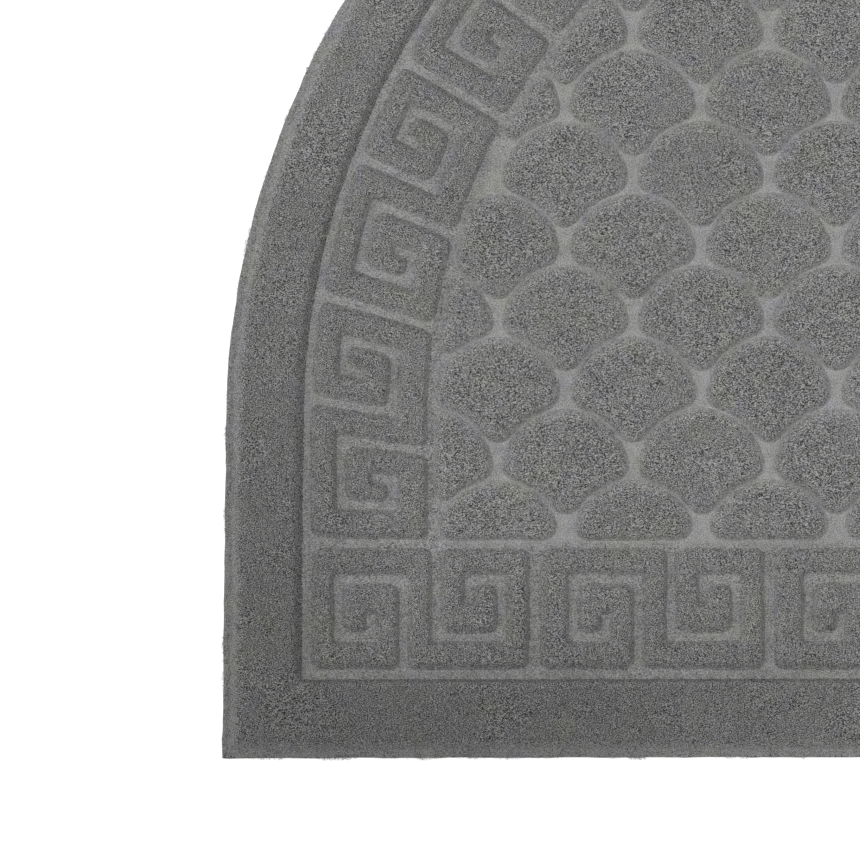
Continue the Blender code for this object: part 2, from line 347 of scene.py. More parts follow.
def edge_distance(points, loop):
    """Each point's distance to the nearest side of a closed loop, and the unit way towards it."""
    side = np.roll(loop, -1, axis=0) - loop
    away = points[:, None, :] - loop
    share = np.clip((away * side).sum(-1) / np.maximum((side * side).sum(-1), 1e-12), 0, 1)
    away -= side * share[..., None]
    distance = np.linalg.norm(away, axis=-1)
    here, nearest = np.arange(len(points)), distance.argmin(axis=1)
    distance = distance[here, nearest]
    return distance, -away[here, nearest] / np.maximum(distance, 1e-6)[:, None]


def on_wall(edge, facing, wall):
    """Distances in from the foot, stretched where the wall is steeper, and shrunk where it is softer."""
    return edge / (1 - np.maximum(facing @ np.array(wall["steep"]), -wall["soft"]))


def ring_quads(rings, around, closed=False):
    """The faces between rings of equally many points, each ring inside the last.

    Closed joins the last ring and the first.
    """
    ring = np.arange(rings if closed else rings - 1)[:, None] * around
    after = (ring + around) % (rings * around)
    here = np.arange(around)
    there = (here + 1) % around
    quads = np.stack([ring + here, ring + there, after + there, after + here], axis=-1)
    return quads.reshape(-1, 4)


def end_fans(around, last, low_pole, high_pole):
    """Triangles that close the first ring at one pole and the ring that starts at `last` at the other."""
    here = np.arange(around)
    there = (here + 1) % around
    lower = np.stack([np.full(around, low_pole), there, here], axis=-1)
    upper = np.stack([last + here, last + there, np.full(around, high_pole)], axis=-1)
    return np.concatenate([lower, upper])


def plan_inset(x, y):
    """Roughly how far in from the mat's outline a place lies: the arch is taken as a scaled circle."""
    side = ARCH_HALF_WIDTH * (1 - np.hypot(x / ARCH_HALF_WIDTH, np.maximum(y - SPRING_Y, 0) / ARCH_RISE))
    return np.minimum(side, y - STRAIGHT_Y)


def tone_at(x, y):
    """How light the felt is at a place: by its height up the mat, how far to a side and how far in."""
    low = np.clip((LIGHT_Y - y) / (LIGHT_Y - DARK_Y), 0, 1) * np.interp(np.abs(x), DARK_SIDE, SIDE_SHARE)
    side = np.interp(np.abs(x), DARK_SIDE, SIDE_TONE)
    return side - low * np.interp(plan_inset(x, y), DARK_INSET, DARKNESS)


def block_looks(x, y, edge, wall):
    """Pile and tone of a block's points, by their distance in from its foot; the tone holds the wall's
    painted shade and painted light.
    """
    pile = np.interp(edge, WALL_AT, wall["pile"])
    # painted shade in the crease and painted light up the wall, times the tone of the place
    tone = np.interp(edge, WALL_AT, wall["tone"]) * tone_at(x, y)
    return np.stack([pile, tone], axis=-1).reshape(-1, 2)


def foot_loops(loops, spread):
    """Closed loops moved out by the foot's spread, then softened so that sharp hollows don't cross."""
    return softened(loops - loop_normals(loops) * spread, 2)


def mesh_piece(name, points, looks, *face_sets):
    """A smooth-shaded object from arrays of points, of their pile and tone, and of faces.

    There is one array of faces for each number of corners.
    """
    mesh = bpy.data.meshes.new(name)
    mesh.vertices.add(len(points))
    mesh.vertices.foreach_set("co", points.astype(np.float32).ravel())
    corners = np.concatenate([faces.ravel() for faces in face_sets])
    counts = np.concatenate([np.full(len(faces), faces.shape[1]) for faces in face_sets])
    mesh.loops.add(len(corners))
    mesh.loops.foreach_set("vertex_index", corners.astype(np.int32))
    mesh.polygons.add(len(counts))
    mesh.polygons.foreach_set("loop_start", (np.cumsum(counts) - counts).astype(np.int32))
    mesh.update(calc_edges=True)
    for word, values in zip(("pile", "tone"), looks.T):
        mesh.attributes.new(word, "FLOAT", "POINT").data.foreach_set("value", values.astype(np.float32))
    mesh.validate()
    mesh.shade_smooth()
    thing = bpy.data.objects.new(name, mesh)
    bpy.context.scene.collection.objects.link(thing)
    return thing


def felt_base():
    """The pressed sheet: underside, rounded rim and the floor of the grooves, closed at a pole each way.

    Its profile of insets and heights is carried round the outline, and inside the rim the rings shrink
    towards the middle in equal steps.
    """
    rim = outlines(RIM_PROFILE[:, 0], BASE_STEP)
    around = rim.shape[1]
    shrink = np.linspace(1, 0, UNDER_RINGS + 2)[1:-1][::-1, None, None]
    under = SHEET_MIDDLE + (rim[:1] - SHEET_MIDDLE) * shrink
    floor = outlines(FLOOR_EDGE, BASE_STEP)
    shrink = np.linspace(1, 0, FLOOR_RINGS + 2)[1:-1, None, None]
    floor = np.concatenate([floor, SHEET_MIDDLE + (floor[-1:] - SHEET_MIDDLE) * shrink])
    plan = shifted(np.concatenate([under, rim, floor]))
    heights = np.concatenate([np.zeros(len(under)), RIM_PROFILE[:, 1], np.full(len(floor), GROOVE_TOP)])
    z = np.broadcast_to(heights[:, None], plan.shape[:2]).copy()
    top = heights > RIM_TOP / 2
    x, y = plan[top, :, 0], plan[top, :, 1]
    z[top] += unevenness(x, y, SHEET_LAYERS, 31)
    points = np.concatenate([plan, z[..., None]], axis=-1).reshape(-1, 3)
    poles = np.array([[*SHEET_MIDDLE, 0.0], [*SHEET_MIDDLE, GROOVE_TOP]])
    points = np.concatenate([points, poles])
    inset = np.zeros(plan.shape[:2])
    inset[-len(floor):] = plan_inset(*plan[-len(floor):].T).T
    in_field = np.append(np.interp(inset, FIELD_STEP, (0, 1)).ravel(), [0, 1])
    points[:, 2] += (FIELD_FLOOR - GROOVE_TOP) * in_field
    pile = np.append(np.interp(inset, FLOOR_AT, FLOOR_PILE).ravel(), FLOOR_PILE[-1:] * 2)
    looks = np.stack([pile, tone_at(points[:, 0], points[:, 1])], axis=-1)
    rings = len(heights)
    fans = end_fans(around, (rings - 1) * around, len(points) - 2, len(points) - 1)
    return mesh_piece("felt_base", points, looks, ring_quads(rings, around), fans)


def border_band():
    """The plain border: a profile with a shoulder on both sides, carried round the outline."""
    outer = RIM_WIDTH + OUTER_RINGS
    inner_edge = BORDER_WIDTH + BORDER_WALL["spread"]
    inner = inner_edge - INNER_RINGS
    insets = np.concatenate([outer, np.linspace(outer[-1], inner[0], BAND_RINGS + 2)[1:-1], inner])
    plan = shifted(outlines(insets, OUTLINE_STEP))
    x, y = plan[..., 0], plan[..., 1]
    edge = np.broadcast_to(insets[:, None], x.shape)
    straight = 1 - np.clip((y - STRAIGHT_Y - edge) / CORNER_BLEND, 0, 1)
    inner_wall = {**BORDER_WALL, "shoulder": BORDER_WALL["shoulder"] - STEEPER_BY * straight}
    up = rise(edge - RIM_WIDTH, OUTER_WALL) * rise(inner_edge - edge, inner_wall)
    foot = np.where(edge < BORDER_WIDTH / 2, RIM_TOP, GROOVE_TOP) + LIP
    z = foot + (PILE_TOP + lumps(x, y) - foot) * up
    z[[0, -1]] -= ROOT_WALL
    points = np.stack([x, y, z], axis=-1).reshape(-1, 3)
    looks = block_looks(x, y, inner_edge - edge, BORDER_WALL)
    looks[:, 0] *= np.interp(edge - RIM_WIDTH, OUTER_EDGE_AT, OUTER_EDGE_PILE).ravel()
    # painted light on the rim and, on the straight side, on the inner wall, with a faint painted shade just
    # inside the straight rim
    straight_painted_light_and_shade = np.interp(edge - RIM_WIDTH, OUTER_EDGE_AT, STRAIGHT_RIM_PAINTED_LIGHT_AND_SHADE)
    straight_painted_light_and_shade = straight_painted_light_and_shade + np.interp(inner_edge - edge, WALL_AT, BORDER_WALL["painted_light"])
    arch_painted_light = np.interp(edge - RIM_WIDTH, OUTER_EDGE_AT, ARCH_RIM_PAINTED_LIGHT)
    looks[:, 1] *= 1 + (arch_painted_light + (straight_painted_light_and_shade - arch_painted_light) * straight).ravel()
    return mesh_piece("border_band", points, looks, ring_quads(*x.shape, closed=True))


def key_sides(run, pitch, start, end):
    """Both sides of the winding strip that a Greek-key block is, flat: along the run, and in from the edge.

    Groove A enters from the border and winds up, groove B enters from the field and winds down, and the
    strip lies between them. Its corners come in pairs, from the pocket inside groove A to the one inside
    groove B.
    """
    half = KEY_GROOVE / 2
    leg = {name: share * pitch for name, share in run["legs"].items()}
    outer, low, high, inner = run["outer"], run["low_lane"], run["high_lane"], run["inner"]
    reach = CORE_REACH * (high - low)
    left = [
        (leg["a_far"] + half, low + half), (leg["a_far"] + half, high - half),
        (leg["a_mouth"] - half, high - half), (leg["a_mouth"] - half, outer),
        (start, outer), (start, inner), (leg["b_mouth"] - half, inner),
        (leg["b_mouth"] - half, low - half), (leg["b_far"] + half, low - half),
        (leg["b_far"] + half, high + half),
        (leg["b_core"] - half, high + half), (leg["b_core"] - half, high - reach),
        (leg["b_core"] + half, high - reach), (leg["b_core"] + half, high - half),
    ]
    right = [
        (leg["a_core"] - half, low + half), (leg["a_core"] - half, low + reach),
        (leg["a_core"] + half, low + reach), (leg["a_core"] + half, low - half),
        (leg["a_far"] - half, low - half), (leg["a_far"] - half, high + half),
        (leg["a_mouth"] + half, high + half), (leg["a_mouth"] + half, outer), (end, outer), (end, inner),
        (leg["b_mouth"] + half, inner), (leg["b_mouth"] + half, low + half),
        (leg["b_far"] - half, low + half), (leg["b_far"] - half, high - half),
    ]
    return np.array([left, right])


def key_strip(sides, steps):
    """The strip's two sides, each stretch between corners cut into as many steps on both."""
    stretch = np.repeat(np.arange(len(steps)), steps)
    share = np.concatenate([np.arange(n) / n for n in steps])[:, None]
    points = sides[:, stretch] + (sides[:, stretch + 1] - sides[:, stretch]) * share
    return np.concatenate([points, sides[:, -1:]], axis=1)


def key_block(sides, steps):
    """One key block, flat, and its faces.

    Rings round the softened outline make the wall and the shoulder, and the top is filled by rungs between
    the strip's two sides. The height follows each point's distance to the outline.
    """
    left, right = key_strip(sides, steps)
    n = len(left)
    across = np.arange(1, KEY_COLUMNS)[:, None] / KEY_COLUMNS
    end_cap = right[-1] + (left[-1] - right[-1]) * across
    start_cap = left[0] + (right[0] - left[0]) * across
    loop = softened(np.concatenate([right, end_cap, left[::-1], start_cap]), 1)
    around = len(loop)
    loop = foot_loops(loop, KEY_WALL["spread"])
    rings = loop + loop_normals(loop) * WALL_RINGS[:, None, None]
    top_right = rings[-1, :n]
    top_left = rings[-1, n + KEY_COLUMNS - 1:2 * n + KEY_COLUMNS - 1][::-1]
    rungs = top_left[1:-1, None] + (top_right - top_left)[1:-1, None] * across
    flat = np.concatenate([rings.reshape(-1, 2), rungs.reshape(-1, 2)])
    edge, facing = edge_distance(flat, loop)
    edge[:2 * around] = 0
    grid = np.zeros((n, KEY_COLUMNS + 1), int)
    last = (len(WALL_RINGS) - 1) * around
    grid[:, -1] = last + np.arange(n)
    grid[-1, 1:-1] = (last + n + np.arange(KEY_COLUMNS - 1))[::-1]
    grid[:, 0] = (last + n + KEY_COLUMNS - 1 + np.arange(n))[::-1]
    grid[0, 1:-1] = last + 2 * n + KEY_COLUMNS - 1 + np.arange(KEY_COLUMNS - 1)
    grid[1:-1, 1:-1] = last + around + np.arange((n - 2) * (KEY_COLUMNS - 1)).reshape(n - 2, -1)
    top = np.stack([grid[:-1, :-1], grid[:-1, 1:], grid[1:, 1:], grid[1:, :-1]], axis=-1).reshape(-1, 4)
    foot = grid[:, [0, -1]] - last
    under = np.stack([foot[1:-2, 0], foot[2:-1, 0], foot[2:-1, 1], foot[1:-2, 1]], axis=-1)
    first_end = np.concatenate([foot[1], grid[0, ::-1] - last])[None]
    last_end = np.concatenate([foot[-2, ::-1], grid[-1] - last])[None]
    faces = (np.concatenate([ring_quads(len(WALL_RINGS), around), top, under]), first_end, last_end)
    return flat, edge, facing, faces


def key_run(name, run, pitch, ends, laid):
    """A run of key blocks as one piece.

    ends gives each unit's start and end, laid(flat, k) its plan points.
    """
    plain = key_sides(run, pitch, KEY_GROOVE / 2, pitch - KEY_GROOVE / 2)
    lengths = np.linalg.norm(np.diff(plain, axis=1), axis=-1).mean(axis=0)
    steps = np.maximum(2, np.round(lengths / KEY_STEP).astype(int))
    points = []
    looks = []
    faces = ([], [], [])
    count = 0
    for k, (start, end) in enumerate(ends):
        flat, edge, facing, own = key_block(key_sides(run, pitch, start, end), steps)
        plan = laid(flat, k)
        facing = laid(flat + facing * KEY_STEP, k) - plan
        edge = on_wall(edge, facing / KEY_STEP, KEY_WALL)
        x, y = shifted(plan).T
        foot = GROOVE_TOP + LIP
        z = foot + (PILE_TOP + lumps(x, y) - foot) * rise(edge, KEY_WALL)
        around = int(own[0][0, 3])
        z[:around] -= ROOT_WALL
        points.append(np.stack([x, y, z], axis=-1))
        looks.append(block_looks(x, y, edge, KEY_WALL))
        for kept, new in zip(faces, own):
            kept.append(new + count)
        count += len(flat)
    faces = [np.concatenate(kept) for kept in faces]
    return mesh_piece(name, np.concatenate(points), np.concatenate(looks), *faces)


def straight_keys():
    """The key blocks along the straight edge, the first and last cut off by the border's groove."""
    first_x = STRAIGHT_START - MAT_WIDTH / 2
    ends = [[STRAIGHT_GROOVE / 2, STRAIGHT_PITCH - STRAIGHT_GROOVE / 2] for _ in range(STRAIGHT_UNITS)]
    ends[0][0] = -STRAIGHT_HALF - first_x
    ends[-1][1] = STRAIGHT_HALF - first_x - (STRAIGHT_UNITS - 1) * STRAIGHT_PITCH

    def laid(flat, k):
        """Moved along to unit k."""
        return flat + [first_x + k * STRAIGHT_PITCH, STRAIGHT_Y]

    return key_run("straight_keys", STRAIGHT_RUN, STRAIGHT_PITCH, ends, laid)


def arch_keys():
    """The key blocks round the arch, the same strip bent: along becomes the swing of a ray from RAYS.

    A point lies where its ray meets the outline moved in by its inset. The rays' lengths are read at a few
    insets and blended between them. The first and last units are cut off level with the field's foot.
    """
    curves = outlines(RAY_INSETS, OUTLINE_STEP, low=RAYS_HEIGHT / 2)[:, ::-1] - RAYS
    curves = curves[:, :-round(MAT_WIDTH / OUTLINE_STEP) + 2]
    swings = np.unwrap(np.arctan2(curves[..., 1], -curves[..., 0]), axis=1)
    lengths = np.linalg.norm(curves, axis=-1)

    def laid(flat, k):
        """Bent round the arch, at unit k."""
        swing = ARCH_FIRST_ANGLE + (k + 1 - flat[:, 0] / ARCH_PITCH) * ARCH_UNIT_ANGLE
        each = np.array([np.interp(swing, s, r) for s, r in zip(swings, lengths)])
        place = (flat[:, 1] - RAY_INSETS[0]) / (RAY_INSETS[1] - RAY_INSETS[0])
        lower = np.clip(np.floor(place).astype(int), 0, len(RAY_INSETS) - 2)
        here = np.arange(len(flat))
        length = each[lower, here] + (each[lower + 1, here] - each[lower, here]) * (place - lower)
        return RAYS + length[:, None] * np.stack([-np.cos(swing), np.sin(swing)], axis=1)

    cut_swing = math.asin((FIELD_LOW - RAYS_HEIGHT) / (MAT_WIDTH / 2 - BAND_MIDDLE))
    ends = [[KEY_GROOVE / 2, ARCH_PITCH - KEY_GROOVE / 2] for _ in range(ARCH_UNITS)]
    ends[0][1] = ARCH_PITCH * (1 - (cut_swing - ARCH_FIRST_ANGLE) / ARCH_UNIT_ANGLE)
    ends[-1][0] = ARCH_PITCH * (ARCH_UNITS - (math.pi - cut_swing - ARCH_FIRST_ANGLE) / ARCH_UNIT_ANGLE)
    return key_run("arch_keys", ARCH_RUN, ARCH_PITCH, ends, laid)


def scale_shape():
    """One fish scale: a round head, and below it two hollows that fit round the scales of the next row."""
    head = np.linspace(SCALE_ARC_START, math.pi - SCALE_ARC_START, HEAD_POINTS)
    turn = np.linspace(HOLLOW_START, HOLLOW_END, HOLLOW_POINTS)
    round_head = SCALE_RADIUS * np.stack([np.cos(head), np.sin(head)], axis=1)
    left = SCALE_HOLLOW * np.stack([np.cos(turn), np.sin(turn)], axis=1) - [SCALE_PITCH / 2, SCALE_ROW]
    return np.concatenate([round_head, left, left[::-1] * [-1, 1]])


def cross(a, b):
    """The cross product of plan vectors."""
    return a[..., 0] * b[..., 1] - a[..., 1] * b[..., 0]


def without_spikes(reach):
    """Reaches of rays without narrow peaks: the least of each few neighbours, then the most of those."""
    near = range(-BLUNT_RAYS, BLUNT_RAYS + 1)
    least = np.min([np.roll(reach, k, axis=1) for k in near], axis=0)
    return np.max([np.roll(least, k, axis=1) for k in near], axis=0)


def room_across(loops):
    """How far each point is from the nearest stretch of its loop that faces it, evened out along it."""
    normals = loop_normals(loops)
    gap = np.linalg.norm(loops[:, :, None] - loops[:, None], axis=-1)
    facing = (normals[:, :, None] * normals[:, None]).sum(-1) < OPPOSED
    gap = np.where(facing, gap, SCALE_RADIUS).min(axis=2)
    return softened(gap[..., None], 6)[..., 0]


def scale_outlines():
    """The outlines of the field's scales, cut by the field's own outline, and the deepest point of each.

    From the deepest point of each scale's part inside the field, rays run out to the nearer of the two
    outlines. The hits are spaced evenly, and their corners softened.
    """
    shape = scale_shape()
    side = np.roll(shape, -1, axis=0) - shape
    fence = outlines([FIELD_INSET], FENCE_STEP, low=FIELD_LOW)[0]
    fence_side = np.roll(fence, -1, axis=0) - fence
    fence_side /= np.linalg.norm(fence_side, axis=1, keepdims=True)

    rows = math.ceil(MAT_DEPTH / SCALE_ROW)
    row, column = np.mgrid[0:rows, -COLUMNS_EACH_WAY:COLUMNS_EACH_WAY + 1]
    shift = np.where(row % 2 == 0, 0.5, 0.0)
    centres = np.stack([(column + shift) * SCALE_PITCH, STRAIGHT_Y + FIRST_ROW + row * SCALE_ROW], axis=-1)
    centres = centres.reshape(-1, 2) + FIELD_SHIFT

    trial = np.stack(np.meshgrid(TRIAL_ACROSS, TRIAL_UP), axis=-1).reshape(-1, 2)
    here = shape - trial[:, None]
    ahead = np.roll(shape, -1, axis=0) - trial[:, None]
    swept = np.arctan2(cross(here, ahead), (here * ahead).sum(-1)).sum(1)
    depth = np.where(swept > math.pi, edge_distance(trial, shape)[0], -1.0)
    inside = cross(fence_side, (centres[:, None] + trial)[:, :, None] - fence).min(axis=-1)
    depth = np.minimum(depth, inside)
    best = depth.argmax(axis=1)
    room = depth[np.arange(len(best)), best]
    kept = room > LEAST_ROOM
    centres, middle, room = centres[kept], trial[best[kept]], room[kept]

    turn = np.linspace(0, 2 * math.pi, RAY_COUNT, endpoint=False)
    ray = np.stack([np.cos(turn), np.sin(turn)], axis=1)[:, None]
    spread = cross(ray, side)
    spread = np.where(np.abs(spread) < 1e-12, 1e-12, spread)
    start = shape - middle[:, None, None]
    reach = cross(start, side) / spread
    place = cross(start, ray) / spread
    reach = np.where((reach > 0) & (place >= -1e-6) & (place <= 1 + 1e-6), reach, np.inf).min(axis=-1)
    to_fence = cross(fence_side, (centres + middle)[:, None] - fence)[:, None]
    closing = -cross(fence_side, ray)
    fence_reach = np.where(closing > 1e-9, to_fence / np.maximum(closing, 1e-9), np.inf).min(axis=-1)
    cut = (fence_reach < reach).any(axis=1)
    reach = np.minimum(reach, fence_reach)
    reach[cut] = without_spikes(reach[cut])
    hits = (centres + middle)[:, None] + ray[:, 0] * reach[..., None]

    size = (cross(hits, np.roll(hits, -1, axis=1))).sum(axis=1) / 2
    kept = size > LEAST_SCALE_AREA
    hits, middle, room = hits[kept], (centres + middle)[kept], room[kept]
    closed = np.concatenate([hits, hits[:, :1]], axis=1)
    run = np.cumsum(np.linalg.norm(np.diff(closed, axis=1), axis=-1), axis=1)
    run = np.concatenate([np.zeros((len(run), 1)), run], axis=1)
    even = [
        [np.interp(np.arange(RAY_COUNT) * length[-1] / RAY_COUNT, length, line[:, i]) for i in (0, 1)]
        for length, line in zip(run, closed)
    ]
    loops = softened(np.array(even).transpose(0, 2, 1), CORNER_PASSES)
    return loops[:, ::RAY_COUNT // SCALE_POINTS], middle, room


def scale_field():
    """The fish scales, in groups of rows.

    Rings round each outline make its wall and shoulder, and rings that shrink to its deepest point its top.
    """
    loops, middle, room = scale_outlines()
    loops = foot_loops(loops, SCALE_WALL["spread"])
    fit = np.minimum(1, WALL_SHARE * room_across(loops) / WALL_RINGS[-1])[:, None, :, None]
    rings = loops[:, None] + loop_normals(loops)[:, None] * WALL_RINGS[:, None, None] * fit
    shrink = np.linspace(1, 0, SCALE_RINGS + 1)[1:-1, None, None]
    heart = middle[:, None, None]
    filled = heart + (rings[:, -1:] - heart) * shrink
    rings = np.concatenate([rings, filled], axis=1)
    count, levels, around = rings.shape[:3]
    near = [edge_distance(own.reshape(-1, 2), loop) for own, loop in zip(rings, loops)]
    edge = np.array([on_wall(*own, SCALE_WALL) for own in near]).reshape(count, levels, around)
    edge[:, :2] = 0
    facing = np.array([way for _, way in near])
    # painted light: how far each scale's wall faces the lit side
    painted_light_share = np.maximum(facing @ np.array(SCALE_WALL["painted_lit_side"]), 0) ** 2
    painted_light_share = np.pad(painted_light_share, ((0, 0), (0, 2)))
    room = room[:, None] + SCALE_WALL["spread"]
    edge = np.concatenate([edge.reshape(count, -1), np.zeros((count, 1)), room], axis=1)
    plan = np.concatenate([rings.reshape(count, -1, 2), middle[:, None], middle[:, None]], axis=1)
    plan = shifted(plan)
    x, y = plan[..., 0], plan[..., 1]
    foot = FIELD_FLOOR + LIP
    z = foot + (SCALE_TOP + lumps(x, y) - foot) * rise(edge, SCALE_WALL)
    z[:, :around] -= ROOT_WALL
    z[:, -2] -= ROOT_WALL
    points = np.stack([x, y, z], axis=-1)
    looks = block_looks(x, y, edge, SCALE_WALL).reshape(*x.shape, 2)
    # painted light on the scales' walls that face the lit side
    looks[..., 1] *= 1 + painted_light_share * np.interp(edge, WALL_AT, SCALE_WALL["painted_light"])

    each = points.shape[1]
    quads = ring_quads(levels, around)
    fans = end_fans(around, (levels - 1) * around, each - 2, each - 1)
    order = np.argsort(middle[:, 1], kind="stable")
    pieces = []
    for i, group in enumerate(np.array_split(order, SCALE_GROUPS)):
        start = (np.arange(len(group)) * each)[:, None, None]
        faces = [(start + kind).reshape(-1, kind.shape[1]) for kind in (quads, fans)]
        own = points[group].reshape(-1, 3), looks[group].reshape(-1, 2)
        pieces.append(mesh_piece(f"scale_rows_{i + 1}", *own, *faces))
    return pieces


def edge_fibres():
    """Stray fibres along the mat's outline, in loose tufts: bent three-sided tubes, closed and tapering.

    Each fibre runs out along the outline's normal by its reach times t, sideways by its slant times t plus
    its curl times t squared, and up by its lift times t (1.4 - t), for t from 0 to 1.
    """
    random = np.random.default_rng(41)
    outline = outlines([ROOT_INSET], ROOT_STEP)[0]
    outward = -loop_normals(outline)
    tufts = lattice_noise(outline[:, 0], outline[:, 1], TUFT_CELL, 42)
    chance = np.clip(0.35 + tufts, 0.06, None) ** 2
    root = random.choice(len(outline), FIBRE_COUNT, p=chance / chance.sum())
    out = outward[root][:, None]
    along = np.stack([-out[..., 1], out[..., 0]], axis=-1)
    t = np.linspace(0, 1, FIBRE_STEPS)[:, None]
    ranges = np.array(FIBRE_RANGES).T[..., None, None, None]
    reach, slant, curl, lift = random.uniform(*ranges, (len(FIBRE_RANGES), FIBRE_COUNT, 1, 1))
    plan = outline[root][:, None] + out * reach * t + along * (slant * t + curl * t * t)
    root_z = random.uniform(*ROOT_HEIGHTS, (FIBRE_COUNT, 1, 1))
    z = np.maximum(root_z + lift * t * (1.4 - t), LOWEST_FIBRE)
    path = np.concatenate([plan, np.broadcast_to(z, plan.shape[:2] + (1,))], axis=-1)
    ahead = np.gradient(path[..., :2], axis=1)
    ahead /= np.linalg.norm(ahead, axis=-1, keepdims=True)
    beside = np.stack([-ahead[..., 1], ahead[..., 0], np.zeros(ahead.shape[:2])], axis=-1)
    turn = np.arange(3) * 2 * math.pi / 3
    radius = FIBRE_RADIUS * (1 - 0.6 * t)[..., None]
    ring = beside[:, :, None] * np.cos(turn)[:, None] + np.array([0, 0, 1.0]) * np.sin(turn)[:, None]
    points = (path[:, :, None] + ring * radius).reshape(-1, 3)
    each = FIBRE_STEPS * 3
    start = (np.arange(FIBRE_COUNT) * each)[:, None, None]
    quads = (start + ring_quads(FIBRE_STEPS, 3)).reshape(-1, 4)
    caps = (start + np.array([[0, 2, 1], [each - 3, each - 2, each - 1]])).reshape(-1, 3)
    looks = np.stack([np.full(len(points), 0.5), tone_at(points[:, 0], points[:, 1])], axis=-1)
    return mesh_piece("edge_fibres", points, looks, quads, caps)


class Finish:
    """A material under construction: each call adds a node, sets its sockets and returns its output."""

    def __init__(self, name):
        self.material = bpy.data.materials.new(name)
        self.material.use_nodes = True
        self.nodes = self.material.node_tree.nodes
        self.links = self.material.node_tree.links
        self.shader = self.nodes.get("Principled BSDF")
        if self.shader is None:
            self.shader = self.nodes.new("ShaderNodeBsdfPrincipled")
            output = self.nodes.new("ShaderNodeOutputMaterial")
            self.links.new(self.shader.outputs[0], output.inputs["Surface"])
        self.place = self.nodes.new("ShaderNodeTexCoord").outputs["Object"]

    def put(self, socket, value):
        """A plain value or a link into a socket."""
        if isinstance(value, bpy.types.NodeSocket):
            self.links.new(value, socket)
        else:
            socket.default_value = value

    def noise(self, place, scale, detail=2.0, roughness=0.5, distortion=0.0):
        """Noise at a place, from 0 to 1."""
        node = self.nodes.new("ShaderNodeTexNoise")
        self.put(node.inputs["Vector"], place)
        self.put(node.inputs["Scale"], scale)
        self.put(node.inputs["Detail"], detail)
        self.put(node.inputs["Roughness"], roughness)
        self.put(node.inputs["Distortion"], distortion)
        return node.outputs["Fac"]

    def mapped(self, place, turn=0.0, stretch=(1, 1, 1)):
        """A place turned about the vertical and stretched."""
        node = self.nodes.new("ShaderNodeMapping")
        self.put(node.inputs["Vector"], place)
        node.inputs["Rotation"].default_value = (0, 0, turn)
        node.inputs["Scale"].default_value = stretch
        return node.outputs["Vector"]

    def math(self, operation, a, b=0.0, clamp=False):
        """One sum of two values."""
        node = self.nodes.new("ShaderNodeMath")
        node.operation = operation
        node.use_clamp = clamp
        self.put(node.inputs[0], a)
        self.put(node.inputs[1], b)
        return node.outputs[0]

    def ranged(self, value, low, high, to_low=0.0, to_high=1.0, smooth=False):
        """A value's place between low and high, carried over to another range and held inside it."""
        node = self.nodes.new("ShaderNodeMapRange")
        node.interpolation_type = "SMOOTHSTEP" if smooth else "LINEAR"
        sockets = ("Value", "From Min", "From Max", "To Min", "To Max")
        for name, number in zip(sockets, (value, low, high, to_low, to_high)):
            self.put(node.inputs[name], number)
        return node.outputs[0]

    def mixed(self, share, a, b, blend="MIX"):
        """Two colours blended by a share of the second."""
        node = self.nodes.new("ShaderNodeMix")
        node.data_type = "RGBA"
        node.blend_type = blend
        self.put(node.inputs[0], share)
        self.put(node.inputs[6], a)
        self.put(node.inputs[7], b)
        return node.outputs[2]

    def point_value(self, name):
        """The value that each point of the mesh carries under a name."""
        node = self.nodes.new("ShaderNodeAttribute")
        node.attribute_name = name
        return node.outputs["Fac"]

    def bump(self, height, strength, distance):
        """Fine relief on the finished surface."""
        node = self.nodes.new("ShaderNodeBump")
        node.inputs["Strength"].default_value = strength
        node.inputs["Distance"].default_value = distance
        self.links.new(height, node.inputs["Height"])
        self.links.new(node.outputs[0], self.shader.inputs["Normal"])


